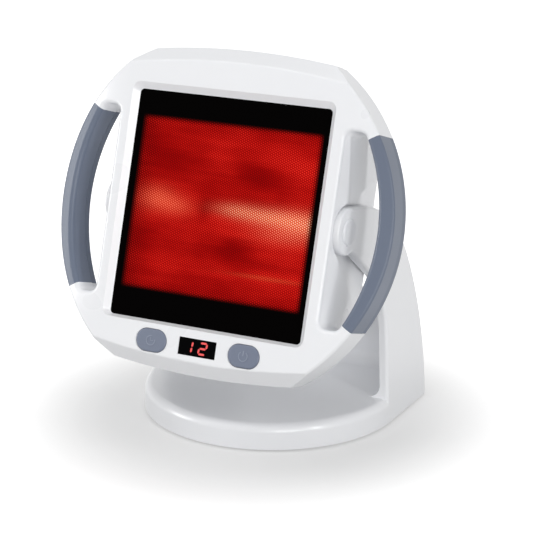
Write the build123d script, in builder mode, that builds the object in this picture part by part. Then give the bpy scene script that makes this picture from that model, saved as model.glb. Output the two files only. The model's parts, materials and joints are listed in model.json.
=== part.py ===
"""Infrared heat therapy lamp: a tilting head with a glass front and two bow grips,
carried between the two arms of a round-fronted stand.

Millimetres. X runs across the lamp, Y to the back and Z up, with the origin on the
table in the middle of the lamp's footprint box. The head is drawn on planes that lean
with it: u across, v up its face, w out of it, from the middle of the glass's front.
"""

import os
from math import atan2, cos, pi, radians, sin, sqrt, tan

from build123d import *

os.makedirs("parts", exist_ok=True)

# ---------------------------------------------------------------- driving dimensions
# clearances
slip_gap = 0.3  # around a piece that slides or drops in
face_gap = 0.2  # between faces that turn or lift off each other
swing_gap = 0.8  # around the hubs and arms where the head tilts
bearing_gap = 0.05  # radial, pin in bush and shaft in fan hub

# glass and its frame
glass_width = 150.0  # what shows of it
glass_height = 160.5
glass_lip = 3.0  # hidden under the bezel on each side
glass_thickness = 4.0
glass_corner = 3.0
recess_side = 4.2
recess_top = 4.8
recess_bottom = 1.8
recess_corner = 6.0
gasket_thickness = 1.5
gasket_width = 4.0
rib_wall = 1.2

# head outline
housing_margin = 9.4  # glass edge to the housing's flank
slot_width = 30.5  # finger slot at the middle of the grip
grip_width = 11.3
side_radius = 131.4
panel_height = 34.25  # from the glass to the crown of the top and bottom arcs
crown_radius = 560.0
bevel = 10.0
face_w = 4.5  # bezel front, ahead of the glass
face_flat_margin = 0.8  # of the flat middle, past the glass's recess
face_side_radius = 170.0  # the front curves back beside its flat middle
parting_w = -17.5
face_edge_round = 2.0
bezel_wall = 2.6
rear_rim_depth = 7.5  # of the rear housing's rim and the grips' backs
rear_rim_round = 1.2
rear_lip = 0.3  # the rear pieces are this much smaller all round
seam_width = 0.7  # shadow line between the front and rear pieces
seam_depth = 1.0

# finger slots and grips
slot_half = 67.0
slot_bow_radius = 140.0
slot_round = 5.8
slot_edge_round = 3.0
grip_half_angle = 30.5
grip_wall = 2.6
grip_screw_angle = 23.0
grip_screw_radius = 1.2
grip_screw_bite = 7.0

# control panel
panel_v = -94.0
button_u = 36.4
button_width = 24.0
button_height = 16.0
button_proud = 1.0
button_edge_round = 1.2
button_flange = 1.0
button_flange_depth = 1.4
button_travel = 0.8
window_width = 29.0
window_height = 12.0
window_inset = 0.4
window_flange = 2.0
window_flange_depth = 1.2
display_width = 24.0
display_height = 9.6
board_width = 116.0
board_height = 21.0
board_thickness = 1.6
board_w = -7.0
board_screw_u = 54.0
board_boss_radius = 3.0
key_switch_size = 6.0
key_switch_body = 3.2
key_plunger_radius = 1.7

# heater
sheet = 1.0
reflector_depth = 35.5
reflector_mouth_width = 144.0
reflector_mouth_height = 154.0
reflector_back_width = 112.0
reflector_back_height = 122.0
reflector_corner = 10.0
tube_w = -30.0
tube_radius = 5.0
tube_wall = 1.0
tube_end = 3.0
tube_end_gap = 2.5  # to the end of the pivot screw
tube_room = 1.0  # around the tube where it leaves the reflector
filament_radius = 1.1
holder_bite = 3.0  # length of the tube's end in its holder
holder_width = 5.0
holder_half = 9.0
shield_w = -46.0
shield_hole_radius = 30.0
shield_gap = 1.0
shield_post = (57.0, 42.0)
cutout_radius = 7.0
cutout_height = 3.0
cutout_u = 30.0
cutout_v = 28.0

# rear housing
housing_margin_v = 7.75  # glass edge to the housing's top and bottom
housing_corner = 22.0
housing_wall = 2.5
housing_straight_w = -69.0
housing_back_w = -80.0
housing_draw_in = 11.0  # how far the back is smaller than the middle, per side
housing_back_round = 7.0
pocket_depth = 4.2  # of the flanks' pockets, where the hubs and arms swing
clamp_v = 45.0  # ribs that hold the reflector's rim
clamp_length = 6.0
clamp_bite = 3.0
clamp_drop = 24.0
housing_screw_in = 9.0  # from the glass's side
housing_screw_drop = 16.5  # from the crown
slot_screw_out = 6.0  # from the slot's inner side
slot_screw_past = 12.5  # from the slot's end
grille_radius = 36.5
grille_rib = 3.0
vent_count = 9
vent_pitch = 8.0
vent_height = 4.2
top_vent_count = 7
top_vent_pitch = 15.0
top_vent_length = 20.0
top_vent_width = 4.5
top_vent_w = -38.0
ear_front_w = -0.2  # the ears round the pivots reach up into the bezel

# power board and terminals, on the heat shield
power_v = 62.0
power_width = 90.0
power_height = 30.0
power_lift = 3.0
power_post_radius = 2.5
relay_size = (18.0, 15.0, 12.0)
relay_u = -24.0
choke_size = (20.0, 17.0, 13.0)
choke_u = 2.0
capacitor_u = 26.0
capacitor_radius = 6.0
capacitor_height = 13.0
terminal_size = (32.0, 12.0, 12.0)
terminal_pitch = 10.0
terminal_u = -38.0
terminal_v = -60.0

# fan
fan_size = 80.0
fan_corner = 4.0
fan_depth = 15.0
fan_bore_radius = 37.5
fan_hole = 35.75  # half the fixing-hole spacing
fan_screw_radius = 2.0
fan_screw_bite = 9.0
fan_motor_radius = 12.0
fan_spoke = 5.0
fan_spoke_depth = 3.0
rotor_hub_radius = 15.0
rotor_depth = 9.0
rotor_radius = 36.5
rotor_wall = 1.5
rotor_gap = 1.0  # to the spokes behind it
blade_count = 7
blade_angle = 35.0
blade_thickness = 1.6
blade_width = 9.0
shaft_radius = 1.5
shaft_proud = 0.5

# tilt pivot
pivot_y = -41.4
pivot_z = 163.4
glass_ahead_of_pivot = 16.0
tilt = 18.0  # degrees, the head leans back this far at rest
tilt_back = 17.0  # further, to the back stop
tilt_upright = 18.0  # the other way, to upright
hub_radius = 16.5
hub_thickness = 7.4
hub_proud = 0.6
hub_edge_round = 1.6
hub_fillet = 8.0
pivot_screw_radius = 4.0
pivot_head_radius = 7.0
pivot_head_height = 2.2
bush_wall = 2.0
hub_cap_radius = 9.5
hub_cap_depth = 1.0
hub_cap_proud = 1.4
hub_recess = 2.8  # room for the pivot screw's head under the cap
washer_thickness = 1.2
washer_radius = 12.0
pivot_boss_radius = 9.0
pivot_boss_height = 1.7
nut_width = 13.0
nut_height = 5.0
nut_overhang = 0.5  # screw end past the nut
ear_lip = 1.5

# stand
base_y = 25.7  # centre of the base's round front
base_height = 20.0
base_edge_round = 6.0
base_wall = 3.0
ground_gap = 1.5  # height of the rubber feet
draft = 1.8  # degrees, the flanks lean in as they rise
arm_thickness = 6.6
arm_front_y = 22.2
arm_knee_z = 104.0
arm_knee_round = 70.0
arm_top_fall = 12.0  # degrees, slope of the arm's top edge behind the hub
arm_top_run = 26.5  # length of its straight stretch
arm_root_back = 2.6  # where the arm's under edge runs into the hub, from the pivot
arm_root_drop = 13.6
shoulder_y = 61.7  # the arm's back edge changes curvature here
shoulder_z = 120.0
foot_y = 93.0
arm_edge_round = 2.4
back_wall = 4.5
back_wall_top = 78.0
back_cut_half_width = 76.0
back_cut_round = 50.0
foot_edge_round = 0.5
yoke_fillet = 9.0
cover_margin = 5.0  # arm outline to the edge of its inner cover
cover_thickness = 2.0
cover_ledge = 2.0
cover_low_z = 40.0
cover_hub_gap = 2.0
wire_channel = 2.2
cover_screw_spots = [(-6.0, 152.0), (51.0, 62.0)]  # y, z
cover_boss_radius = 3.0

# screws
screw_radius = 1.5
screw_head_radius = 3.2
screw_head_height = 2.0
screw_bite = 9.0
small_head_radius = 2.4
small_head_height = 1.1
boss_radius = 4.0

# base
plate_thickness = 2.5
ballast_width = 116.0
ballast_length = 84.0
ballast_height = 6.0
ballast_y = 34.0
base_screw_back = (76.0, 68.0)
base_screw_side = (62.0, -17.0)
base_screw_front = (0.0, -53.0)
foot_radius = 8.0
foot_back = (60.0, 77.0)
foot_front = (48.0, -41.0)
gland_x = 46.0
gland_z = 10.5
gland_radius = 4.5
gland_bore = 3.2
gland_flange = 7.0
gland_flange_depth = 2.5
gland_collar = 5.8
gland_collar_depth = 2.0
gland_depth = 12.0

# ---------------------------------------------------------------- derived sizes
slope = radians(draft)
rim_width = glass_width + 2 * glass_lip
rim_height = glass_height + 2 * glass_lip
gasket_w = -glass_thickness
rim_w = gasket_w - gasket_thickness
housing_half_width = rim_width / 2 + housing_margin
housing_half_height = rim_height / 2 + housing_margin_v
wall_x = housing_half_width - housing_wall
pivot_seat_x = housing_half_width - pocket_depth
pivot_wall_x = pivot_seat_x - housing_wall
screw_end_x = pivot_wall_x - pivot_boss_height - nut_height - nut_overhang
tube_length = 2 * (screw_end_x - tube_end_gap)
holder_u = tube_length / 2 - holder_bite  # inner faces of the two tube holders
slot_u = housing_half_width + rear_lip
slot_reach = slot_u + slot_width
head_reach = slot_reach + grip_width
side_centre = head_reach - side_radius
crown = glass_height / 2 + panel_height
depth_to_parting = face_w - parting_w
face_flat = glass_width / 2 + recess_side + face_flat_margin
core_reach = head_reach - grip_wall
face_drop = face_side_radius - sqrt(face_side_radius**2 - (core_reach - face_flat) ** 2)
core_w = face_w - face_drop - grip_wall
hub_inner_x = pivot_seat_x + washer_thickness + face_gap
hub_outer_x = hub_inner_x + hub_thickness
base_radius = hub_outer_x - hub_proud + pivot_z * tan(slope)
arm_root = (pivot_y + arm_root_back, pivot_z - arm_root_drop)
arm_fall = atan2(arm_root[1] - arm_knee_z, arm_front_y - arm_root[0])
arm_top_slope = radians(arm_top_fall)
shield_back_w = shield_w - sheet
inner_back_w = housing_back_w + housing_wall
rear_rim_w = parting_w - rear_rim_depth
screw_seat_w = rear_rim_w + screw_head_height
housing_screw_spots = [
    (glass_width / 2 - housing_screw_in, crown - housing_screw_drop),
    (slot_u + slot_screw_out, slot_half + slot_screw_past),
]

# ---------------------------------------------------------------- frames of reference
lean = radians(tilt)
face_normal = Vector(0, -cos(lean), sin(lean))
head_origin = Vector(0, pivot_y, pivot_z) + face_normal * glass_ahead_of_pivot
pivot_w = -glass_ahead_of_pivot
head = Plane(origin=head_origin, x_dir=(1, 0, 0), z_dir=face_normal)  # sketches in u, v
head_side = Plane(origin=head_origin, x_dir=head.y_dir, z_dir=(1, 0, 0))  # in v, w
head_plan = Plane(origin=head_origin, x_dir=(1, 0, 0), z_dir=head.y_dir * -1)  # in u, w
flank = Plane((base_radius, 0, 0), x_dir=(0, 1, 0), z_dir=(cos(slope), 0, sin(slope)))
arm_inside = flank.offset(-arm_thickness)
head_v = Axis(head_origin, head.y_dir)
head_w = Axis(head_origin, head.z_dir)


def finish(piece, name):
    """Labels a finished piece and writes it to its file."""
    piece.part.label = name
    export_step(piece.part, f"parts/{name}.step")


def rear(w):
    """Plane that looks out of the back of the head, with v turned over."""
    return Plane(origin=head.offset(w).origin, x_dir=(1, 0, 0), z_dir=-face_normal)


def mirrored(piece):
    """The piece on the lamp's other side."""
    with BuildPart() as twin:
        mirror(piece.part, about=Plane.YZ)
    return twin


def both(*spots):
    """The spots and their mirror images across the lamp's middle."""
    return [(sign * across, along) for across, along in spots for sign in (1, -1)]


def four(*spots):
    """The spots and their mirror images in the other three quarters."""
    return [(across, sign * along) for across, along in both(*spots) for sign in (1, -1)]


# ---------------------------------------------------------------- shared outlines
def head_outline(inset):
    """Bowed outline of the head, drawn in by inset."""
    with BuildSketch() as outline:
        with Locations((side_centre, 0)):
            Circle(side_radius - inset)
        with Locations((head_reach, 0)):
            Rectangle(2 * head_reach, 2 * side_radius, mode=Mode.INTERSECT)
        mirror(about=Plane.YZ)
        for up in (1, -1):
            with Locations((0, up * (crown - crown_radius))):
                Circle(crown_radius - inset, mode=Mode.INTERSECT)
    return outline.sketch


def finger_slot(grow):
    """The slot inside one grip, grown on every side."""
    reach = slot_reach + grow
    with BuildSketch() as slot:
        with Locations((slot_reach - slot_bow_radius, 0)):
            Circle(slot_bow_radius + grow)
        with Locations(((slot_u - grow + reach) / 2, 0)):
            Rectangle(reach - slot_u + grow, 2 * (slot_half + grow), mode=Mode.INTERSECT)
        fillet(slot.vertices(), slot_round + grow)
    return slot.sketch


def bow(inset, overrun):
    """Plan of the bow that a grip covers, drawn in at its sides and longer by overrun."""
    angle = radians(grip_half_angle) + overrun / side_radius
    reach = 2 * side_radius
    with BuildSketch() as plan:
        add(head_outline(inset))
        with Locations((slot_reach - slot_bow_radius, 0)):
            Circle(slot_bow_radius + inset, mode=Mode.SUBTRACT)
        with BuildSketch(mode=Mode.INTERSECT):
            with BuildLine():
                Polyline(
                    (side_centre, 0),
                    (side_centre + reach * cos(angle), reach * sin(angle)),
                    (side_centre + reach * cos(angle), -reach * sin(angle)),
                    close=True,
                )
            make_face()
    return plan.sketch


def on_both_sides(sketch):
    """A sketch of the right-hand side with its mirror image."""
    with BuildSketch() as pair:
        add(sketch)
        mirror(sketch, about=Plane.YZ)
    return pair.sketch


bow_middle = side_radius - grip_width / 2
grip_screw_spots = four(
    (
        side_centre + bow_middle * cos(radians(grip_screw_angle)),
        bow_middle * sin(radians(grip_screw_angle)),
    )
)
slots = on_both_sides(finger_slot(0))
slot_jackets = on_both_sides(finger_slot(bezel_wall))
grip_plan = bow(0, 0)
grip_gaps = on_both_sides(grip_plan)
core_plan = bow(grip_wall, bezel_wall)
cores = on_both_sides(core_plan)
core_jackets = on_both_sides(bow(0, bezel_wall))


with BuildPart() as bowed_front:  # flat in the middle, curving back to both sides
    with BuildSketch(head_plan):
        with Locations((0, face_w - face_side_radius / 2)):
            Rectangle(2 * face_flat, face_side_radius)
        with Locations((face_flat, face_w - face_side_radius), (-face_flat, face_w - face_side_radius)):
            Circle(face_side_radius)
    extrude(amount=crown, both=True)


def swing_room(grow):
    """Side view, in v and w, of the room that a hub and its arm need as the head tilts."""
    radius = hub_radius + swing_gap + grow
    reach = 2 * (pivot_w - housing_back_w)
    up = radians(tilt + tilt_back) - arm_top_slope
    down = radians(tilt_upright - tilt) + arm_fall
    top = Vector(radius * cos(up), pivot_w + radius * sin(up))
    low = Vector(-radius * cos(down), pivot_w + radius * sin(down))
    with BuildSketch() as room:
        with Locations((0, pivot_w)):
            Circle(radius)
        with BuildLine():
            Polyline(
                top,
                top + Vector(sin(up), -cos(up)) * reach,
                low + Vector(-sin(down), -cos(down)) * reach,
                low,
                close=True,
            )
        make_face()
    return room.sketch


def both_flanks(sketch, inner_x, outer_x):
    """A side view extruded between two distances from the middle, on both sides."""
    with BuildPart() as prisms:
        with BuildSketch(head_side.offset(inner_x)):
            add(sketch)
        extrude(amount=outer_x - inner_x)
        mirror(about=Plane.YZ)
    return prisms.part


hub_jackets = both_flanks(swing_room(rib_wall), pivot_seat_x, slot_u - bezel_wall)
swing_cut = both_flanks(swing_room(0), pivot_seat_x, slot_u + slot_edge_round)
with BuildSketch() as cavity_plan:
    add(head_outline(bezel_wall))
    add(slot_jackets, mode=Mode.SUBTRACT)
    add(core_jackets, mode=Mode.SUBTRACT)

# ---------------------------------------------------------------- front bezel
with BuildPart() as bezel_cavity:
    with BuildSketch(head.offset(parting_w)):
        add(cavity_plan.sketch)
    extrude(amount=-parting_w)
    inner_front = bezel_cavity.faces().sort_by(head_w)[-1].edges().sort_by(head_v)
    chamfer(inner_front[-1:] + inner_front[:1], bevel - face_w + bezel_wall * (sqrt(2) - 1))

with BuildPart() as jacket_walls:
    add(hub_jackets)
    with BuildSketch(head.offset(parting_w)):
        Rectangle(2 * head_reach, 2 * crown)
    extrude(amount=-parting_w, mode=Mode.INTERSECT)

with BuildPart() as front_bezel:
    with BuildSketch(head.offset(parting_w)):
        add(head_outline(0))
    extrude(amount=depth_to_parting)
    front = front_bezel.faces().sort_by(head_w)[-1].edges().sort_by(head_v)
    chamfer(front[-1:] + front[:1], bevel)
    add(bowed_front.part, mode=Mode.INTERSECT)
    front_edges = front_bezel.faces().sort_by(head_w)[-3:].edges()
    fillet(
        front_edges.filter_by(lambda edge: abs(abs(edge.center().X) - face_flat) > slip_gap),
        face_edge_round,
    )
    with BuildSketch(head.offset(parting_w)):
        add(slots)
    extrude(amount=depth_to_parting, mode=Mode.SUBTRACT)
    slotted = front_bezel.faces().filter_by(lambda face: len(face.inner_wires()) == 1)
    slotted = slotted.sort_by(head_w)[-2:]
    fillet(slotted[0].inner_wires().edges() + slotted[1].inner_wires().edges(), slot_edge_round)
    # inside the grips the bows are a narrow core
    with BuildSketch(head.offset(parting_w)):
        add(grip_gaps)
    extrude(amount=depth_to_parting, mode=Mode.SUBTRACT)
    with BuildSketch(head.offset(parting_w)):
        add(cores)
    extrude(amount=core_w - parting_w)
    # hollow behind, with a rib round the glass and walls round the hubs
    add(bezel_cavity.part, mode=Mode.SUBTRACT)
    add(jacket_walls.part)
    add(swing_cut, mode=Mode.SUBTRACT)
    with BuildSketch(head.offset(rim_w - sheet)):
        RectangleRounded(
            rim_width + 2 * (slip_gap + rib_wall),
            rim_height + 2 * (slip_gap + rib_wall),
            glass_corner + glass_lip + rib_wall,
        )
        RectangleRounded(
            rim_width + 2 * slip_gap,
            rim_height + 2 * slip_gap,
            glass_corner + glass_lip,
            mode=Mode.SUBTRACT,
        )
    extrude(amount=sheet - rim_w)
    # bosses for the housing's screws and for the control board
    with BuildSketch(head.offset(parting_w)):
        with Locations(*four(*housing_screw_spots)):
            Circle(boss_radius)
    extrude(amount=-parting_w)
    with BuildSketch(head.offset(board_w)):
        with Locations(*both((board_screw_u, panel_v))):
            Circle(board_boss_radius)
    extrude(amount=-board_w)
    with BuildSketch(head.offset(parting_w)):
        with Locations(*four(*housing_screw_spots)):
            Circle(screw_radius)
    extrude(amount=screw_bite, mode=Mode.SUBTRACT)
    with BuildSketch(head.offset(board_w)):
        with Locations(*both((board_screw_u, panel_v))):
            Circle(grip_screw_radius)
    extrude(amount=-board_w - 2 * board_thickness, mode=Mode.SUBTRACT)
    # window for the glass, with a sloping reveal
    with BuildSketch(head):
        RectangleRounded(glass_width, glass_height, glass_corner)
    with BuildSketch(head.offset(face_w)):
        with Locations((0, (recess_top - recess_bottom) / 2)):
            RectangleRounded(
                glass_width + 2 * recess_side,
                glass_height + recess_top + recess_bottom,
                recess_corner,
            )
    loft(mode=Mode.SUBTRACT)
    # openings for the buttons and the display
    with BuildSketch(head):
        with Locations(*both((button_u, panel_v))):
            SlotOverall(button_width + 2 * slip_gap, button_height + 2 * slip_gap)
        with Locations((0, panel_v)):
            Rectangle(window_width + slip_gap, window_height + slip_gap)
    extrude(amount=face_w, mode=Mode.SUBTRACT)
    # screw holes in the bows
    with BuildSketch(head.offset(parting_w)):
        with Locations(*grip_screw_spots):
            Circle(grip_screw_radius)
    extrude(amount=grip_screw_bite, mode=Mode.SUBTRACT)
finish(front_bezel, "front_bezel")


def screws(seat, spots, radius, length, head_radius, head_height):
    """Cross-head screws at the spots on a plane, with their heads above it."""
    with BuildPart() as group:
        with BuildSketch(seat.offset(-length)):
            with Locations(*spots):
                Circle(radius)
        extrude(amount=length)
        with BuildSketch(seat):
            with Locations(*spots):
                Circle(head_radius)
        extrude(amount=head_height)
        with BuildSketch(seat.offset(head_height / 2)):
            with Locations(*spots):
                Rectangle(head_radius, head_radius / 4)
                Rectangle(head_radius / 4, head_radius)
        extrude(amount=head_height / 2, mode=Mode.SUBTRACT)
    return group


# ---------------------------------------------------------------- grips
right_channel = bow(grip_wall - bearing_gap, bezel_wall)
right_bow_spots = [spot for spot in grip_screw_spots if spot[0] > 0]

with BuildPart() as right_grip:
    with BuildSketch(head.offset(parting_w)):
        add(grip_plan)
    extrude(amount=depth_to_parting)
    add(bowed_front.part, mode=Mode.INTERSECT)
    bow_edges = right_grip.faces().sort_by(head_w)[-1].edges().sort_by(SortBy.LENGTH)
    fillet(bow_edges[-1], face_edge_round)
    bow_edges = right_grip.faces().sort_by(head_w)[-1].edges().sort_by(SortBy.LENGTH)
    fillet(bow_edges[-2:].sort_by(Axis.X)[0], slot_edge_round)
    with BuildSketch(head.offset(parting_w)):
        add(right_channel)
    extrude(amount=core_w - parting_w, mode=Mode.SUBTRACT)
finish(right_grip, "right_grip")
left_grip = mirrored(right_grip)
finish(left_grip, "left_grip")

with BuildPart() as right_grip_back:
    with BuildSketch(head.offset(rear_rim_w)):
        add(bow(rear_lip, 0))
    extrude(amount=rear_rim_depth)
    bow_edges = right_grip_back.faces().sort_by(head_w)[0].edges().sort_by(SortBy.LENGTH)
    fillet(bow_edges[-2:], rear_rim_round)
    with BuildSketch(head.offset(parting_w)):
        add(grip_plan)
        add(bow(rear_lip + seam_depth, 0), mode=Mode.SUBTRACT)
    extrude(amount=-seam_width, mode=Mode.SUBTRACT)
    with BuildSketch(head.offset(rear_rim_w)):
        with Locations(*right_bow_spots):
            Circle(grip_screw_radius + bearing_gap)
    extrude(amount=rear_rim_depth, mode=Mode.SUBTRACT)
    with BuildSketch(head.offset(rear_rim_w)):
        with Locations(*right_bow_spots):
            Circle(small_head_radius + face_gap)
    extrude(amount=rear_rim_depth / 2, mode=Mode.SUBTRACT)
finish(right_grip_back, "right_grip_back")
left_grip_back = mirrored(right_grip_back)
finish(left_grip_back, "left_grip_back")

grip_screws = screws(
    rear(rear_rim_w + rear_rim_depth / 2),
    grip_screw_spots,
    grip_screw_radius - bearing_gap,
    rear_rim_depth / 2 + grip_screw_bite,
    small_head_radius,
    small_head_height,
)
finish(grip_screws, "grip_screws")

# ---------------------------------------------------------------- glass
with BuildSketch() as glass_outline:
    RectangleRounded(rim_width, rim_height, glass_corner + glass_lip)

with BuildPart() as glass_panel:
    with BuildSketch(head.offset(gasket_w)):
        add(glass_outline.sketch)
    extrude(amount=glass_thickness)
finish(glass_panel, "glass_panel")

with BuildPart() as glass_gasket:
    with BuildSketch(head.offset(rim_w)):
        add(glass_outline.sketch)
        RectangleRounded(
            rim_width - 2 * gasket_width,
            rim_height - 2 * gasket_width,
            glass_corner,
            mode=Mode.SUBTRACT,
        )
    extrude(amount=gasket_thickness)
finish(glass_gasket, "glass_gasket")

# ---------------------------------------------------------------- control panel
left_button_spot = (-button_u, panel_v)
right_button_spot = (button_u, panel_v)
button_back_w = -bearing_gap - button_flange_depth
key_w = button_back_w - button_travel - bearing_gap


def push_button(spot):
    """Button with a flange behind the bezel that keeps it in."""
    with BuildPart() as button:
        with BuildSketch(head.offset(button_back_w)):
            with Locations(spot):
                SlotOverall(button_width, button_height)
        extrude(amount=face_w + button_proud - button_back_w)
        rim = button.faces().sort_by(head_w)[-1].edges()
        fillet(rim, button_edge_round)
        with BuildSketch(head.offset(button_back_w)):
            with Locations(spot):
                SlotOverall(button_width + 2 * button_flange, button_height + 2 * button_flange)
        extrude(amount=button_flange_depth)
    return button


timer_button = push_button(left_button_spot)
finish(timer_button, "timer_button")
power_button = push_button(right_button_spot)
finish(power_button, "power_button")

with BuildPart() as display_window:
    with BuildSketch(head):
        with Locations((0, panel_v)):
            Rectangle(window_width, window_height)
    extrude(amount=face_w - window_inset)
    with BuildSketch(head.offset(-window_flange_depth)):
        with Locations((0, panel_v)):
            Rectangle(window_width + 2 * window_flange, window_height + window_flange)
    extrude(amount=window_flange_depth)
finish(display_window, "display_window")

with BuildPart() as display_module:
    with BuildSketch(head.offset(board_w)):
        with Locations((0, panel_v)):
            Rectangle(display_width, display_height)
    extrude(amount=-board_w - window_flange_depth)
finish(display_module, "display_module")

with BuildPart() as control_board:
    with BuildSketch(head.offset(board_w - board_thickness)):
        with Locations((0, panel_v)):
            Rectangle(board_width, board_height)
        with Locations(*both((board_screw_u, panel_v))):
            Circle(grip_screw_radius + bearing_gap, mode=Mode.SUBTRACT)
    extrude(amount=board_thickness)
finish(control_board, "control_board")

with BuildPart() as key_switches:
    with BuildSketch(head.offset(board_w)):
        with Locations(left_button_spot, right_button_spot):
            Rectangle(key_switch_size, key_switch_size)
    extrude(amount=key_switch_body)
    with BuildSketch(head.offset(board_w)):
        with Locations(left_button_spot, right_button_spot):
            Circle(key_plunger_radius)
    extrude(amount=key_w - board_w)
finish(key_switches, "key_switches")

# ---------------------------------------------------------------- reflector and tube
reflector_back_w = rim_w - reflector_depth


def pan(grow, back_w):
    """Tapered pan from the rim to a depth, its sides grown."""
    with BuildPart() as body:
        with BuildSketch(head.offset(rim_w)):
            RectangleRounded(
                reflector_mouth_width + 2 * grow,
                reflector_mouth_height + 2 * grow,
                reflector_corner + grow,
            )
        with BuildSketch(head.offset(back_w)):
            RectangleRounded(
                reflector_back_width + 2 * grow,
                reflector_back_height + 2 * grow,
                reflector_corner + grow,
            )
        loft()
    return body.part


pan_outside = pan(sheet, reflector_back_w)
pan_inside = pan(0, reflector_back_w + sheet)

with BuildPart() as reflector:
    with BuildSketch(head.offset(rim_w - sheet)):
        add(glass_outline.sketch)
    extrude(amount=sheet)
    add(pan_outside)
    add(pan_inside, mode=Mode.SUBTRACT)
    with BuildSketch(head_side):
        with Locations((0, tube_w)):
            Circle(tube_radius + tube_room)
    extrude(amount=rim_width / 2, both=True, mode=Mode.SUBTRACT)
finish(reflector, "reflector")

with BuildPart() as infrared_tube:
    with BuildSketch(head_side):
        with Locations((0, tube_w)):
            Circle(tube_radius)
    extrude(amount=tube_length / 2, both=True)
    with BuildSketch(head_side):
        with Locations((0, tube_w)):
            Circle(tube_radius - tube_wall)
    extrude(amount=tube_length / 2 - tube_end, both=True, mode=Mode.SUBTRACT)
finish(infrared_tube, "infrared_tube")

with BuildPart() as tube_filament:
    with BuildSketch(head_side):
        with Locations((0, tube_w)):
            Circle(filament_radius)
    extrude(amount=tube_length / 2 - tube_end, both=True)
finish(tube_filament, "tube_filament")

holder_front_w = tube_w + tube_radius + tube_room
with BuildPart() as right_tube_holder:
    with BuildSketch(head_side.offset(holder_u)):
        with Locations((0, (holder_front_w + shield_w) / 2)):
            Rectangle(2 * holder_half, holder_front_w - shield_w)
    extrude(amount=holder_width)
    with BuildSketch(head_side.offset(holder_u)):
        with Locations((0, tube_w)):
            Circle(tube_radius + bearing_gap)
    extrude(amount=holder_bite, mode=Mode.SUBTRACT)
finish(right_tube_holder, "right_tube_holder")
left_tube_holder = mirrored(right_tube_holder)
finish(left_tube_holder, "left_tube_holder")

with BuildPart() as thermal_cutout:
    with BuildSketch(head.offset(reflector_back_w - cutout_height)):
        with Locations((cutout_u, cutout_v)):
            Circle(cutout_radius)
    extrude(amount=cutout_height)
finish(thermal_cutout, "thermal_cutout")

# ---------------------------------------------------------------- heat shield and electrics
power_w = shield_back_w - power_lift
power_post_in = 2 * power_post_radius  # from the power board's edges
power_posts = [
    (sign * (power_width / 2 - power_post_in), power_v + up * (power_height / 2 - power_post_in))
    for sign in (1, -1)
    for up in (1, -1)
]
shield_posts = four(shield_post)
shield_inset = housing_wall + shield_gap

with BuildPart() as heat_shield:
    with BuildSketch(head.offset(shield_back_w)):
        RectangleRounded(
            2 * (pivot_seat_x - shield_inset),
            2 * (housing_half_height - shield_inset),
            housing_corner - shield_inset,
        )
        Circle(shield_hole_radius, mode=Mode.SUBTRACT)
        with Locations(*shield_posts):
            Circle(screw_radius + bearing_gap, mode=Mode.SUBTRACT)
    extrude(amount=sheet)
    with BuildSketch(head.offset(power_w)):
        with Locations(*power_posts):
            Circle(power_post_radius)
    extrude(amount=power_lift)
    with BuildSketch(head.offset(power_w)):
        with Locations(*power_posts):
            Circle(grip_screw_radius + bearing_gap)
    extrude(amount=power_lift + sheet, mode=Mode.SUBTRACT)
finish(heat_shield, "heat_shield")

shield_screws = screws(
    head.offset(shield_w),
    shield_posts,
    screw_radius - bearing_gap,
    sheet + screw_bite,
    screw_head_radius,
    screw_head_height,
)
finish(shield_screws, "shield_screws")

with BuildPart() as power_board:
    with BuildSketch(head.offset(power_w - board_thickness)):
        with Locations((0, power_v)):
            Rectangle(power_width, power_height)
        with Locations(*power_posts):
            Circle(grip_screw_radius + bearing_gap, mode=Mode.SUBTRACT)
    extrude(amount=board_thickness)
    board_face = head.offset(power_w - board_thickness)
    with BuildSketch(board_face):
        with Locations((relay_u, power_v)):
            Rectangle(relay_size[0], relay_size[1])
    extrude(amount=-relay_size[2])
    with BuildSketch(board_face):
        with Locations((choke_u, power_v)):
            Rectangle(choke_size[0], choke_size[1])
    extrude(amount=-choke_size[2])
    with BuildSketch(board_face):
        with Locations((capacitor_u, power_v)):
            Circle(capacitor_radius)
    extrude(amount=-capacitor_height)
finish(power_board, "power_board")

with BuildPart() as terminal_block:
    with BuildSketch(head.offset(shield_back_w - terminal_size[2])):
        with Locations((terminal_u, terminal_v)):
            Rectangle(terminal_size[0], terminal_size[1])
    extrude(amount=terminal_size[2])
    with BuildSketch(head.offset(shield_back_w - terminal_size[2])):
        with Locations((terminal_u, terminal_v)):
            with GridLocations(terminal_pitch, terminal_size[1] / 2, 3, 2):
                Circle(screw_radius)
    extrude(amount=terminal_size[2] / 2, mode=Mode.SUBTRACT)
finish(terminal_block, "terminal_block")

board_screws_front = screws(
    rear(board_w - board_thickness),
    both((board_screw_u, -panel_v)),
    grip_screw_radius - bearing_gap,
    2 * board_thickness,
    small_head_radius,
    small_head_height,
)
board_screws_back = screws(
    rear(power_w - board_thickness),
    [(across, -along) for across, along in power_posts],
    grip_screw_radius - bearing_gap,
    board_thickness + power_lift,
    small_head_radius,
    small_head_height,
)
with BuildPart() as board_screws:
    add(board_screws_front.part)
    add(board_screws_back.part)
finish(board_screws, "board_screws")

# ---------------------------------------------------------------- rear housing
housing_narrowing = housing_draw_in / (housing_straight_w - housing_back_w)


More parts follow.
